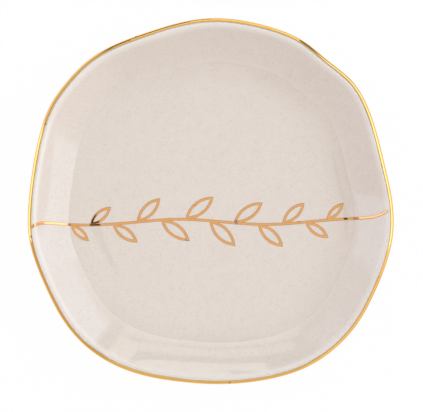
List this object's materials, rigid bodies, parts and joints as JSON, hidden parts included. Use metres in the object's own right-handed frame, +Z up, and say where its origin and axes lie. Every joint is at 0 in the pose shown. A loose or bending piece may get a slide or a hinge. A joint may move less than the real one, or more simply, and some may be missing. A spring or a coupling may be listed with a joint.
{
  "type": "ring dish",
  "caption": "Small shallow stoneware dish with a wavy hand-formed rim, beige glaze, a gold lip and a thin gold leaf sprig across the inside, for rings and small jewellery.",
  "frame": {"origin": "on the table, under the middle of the dish", "axes": "+Z up out of the dish, +X to the right along the sprig, +Y to the far side of the sprig"},
  "size_m": [0.1097, 0.1101, 0.0146],
  "materials": {
    "clay": "bare fired stoneware",
    "inside_glaze": "satin glaze",
    "outside_glaze": "satin glaze",
    "rim_gold": "fired gold lustre",
    "sprig_gold": "fired gold lustre"
  },
  "bodies": {
    "root": {"stoneware_body": "clay", "liner_glaze": "inside_glaze", "outer_glaze": "outside_glaze", "recess_glaze": "outside_glaze", "gold_rim_band": "rim_gold", "gold_stem": "sprig_gold", "gold_leaves": "sprig_gold"}
  },
  "joints": []
}
